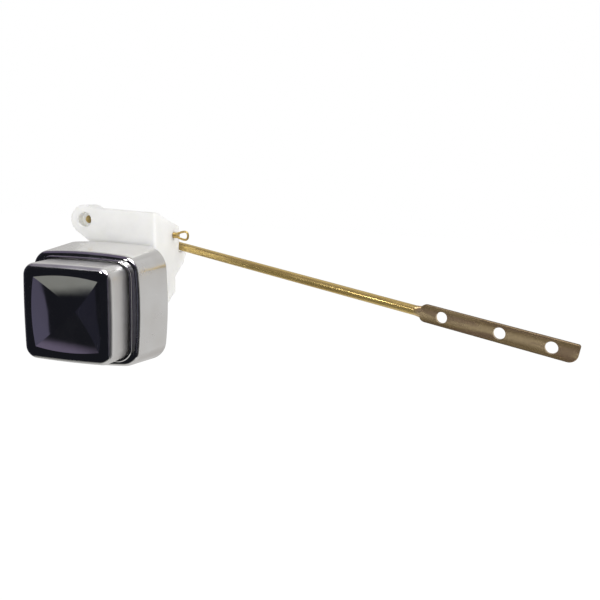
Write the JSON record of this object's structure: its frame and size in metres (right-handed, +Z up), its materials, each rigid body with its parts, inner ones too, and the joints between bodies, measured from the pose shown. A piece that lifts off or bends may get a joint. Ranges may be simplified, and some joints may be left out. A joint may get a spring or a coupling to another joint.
{
  "type": "cistern push button actuator",
  "caption": "Square chrome push button in a crowned wall casing, with a white bracket and crank behind that lift a brass rod with a flattened, drilled end.",
  "frame": {"origin": "on the button axis, in the plane of the casing's back rim", "axes": "+X right seen from the front, along the rod; +Y back through the cistern wall; +Z up"},
  "size_m": [0.2289, 0.0794, 0.0714],
  "materials": {
    "chrome": "polished chrome plate on plastic",
    "acetal": "satin moulded",
    "white_plastic": "semi-gloss moulded",
    "spring_steel": "stamped",
    "rubber": "matte",
    "brass": "drawn, bright"
  },
  "bodies": {
    "body": {"casing": "chrome", "guide_body": "white_plastic", "return_spring": "spring_steel", "gasket": "rubber", "bracket": "white_plastic", "nut_washer": "rubber", "lock_nut": "white_plastic", "cotter_pin": "brass", "pivot_pin": "brass", "pivot_push_nut": "spring_steel"},
    "push_button": {"button": "chrome", "plunger": "acetal"},
    "bell_crank": {"crank": "acetal"},
    "lift_arm": {"arm_carrier": "acetal", "rod": "brass"}
  },
  "joints": [
    {"name": "button_press", "type": "slide", "parent": "body", "child": "push_button", "axis": [0, 1, 0], "range_m": [0, 0.007], "stiffness_N_per_m": 400, "springref_m": -0.008, "deforming": ["return_spring"]},
    {"name": "crank_turn", "type": "hinge", "parent": "body", "child": "bell_crank", "pos_m": [0, 0.0225, 0.0305], "axis": [1, 0, 0], "range_deg": [0, 13.45]},
    {"name": "arm_lift", "type": "hinge", "parent": "body", "child": "lift_arm", "pos_m": [-0.0153, 0.025, 0.037], "axis": [0, -1, 0], "range_deg": [0, 10]}
  ],
  "couplings": [
    {"joint": "crank_turn", "follows": "button_press", "rad_per_m": 33.41},
    {"joint": "arm_lift", "follows": "button_press", "rad_per_m": 24.9}
  ]
}
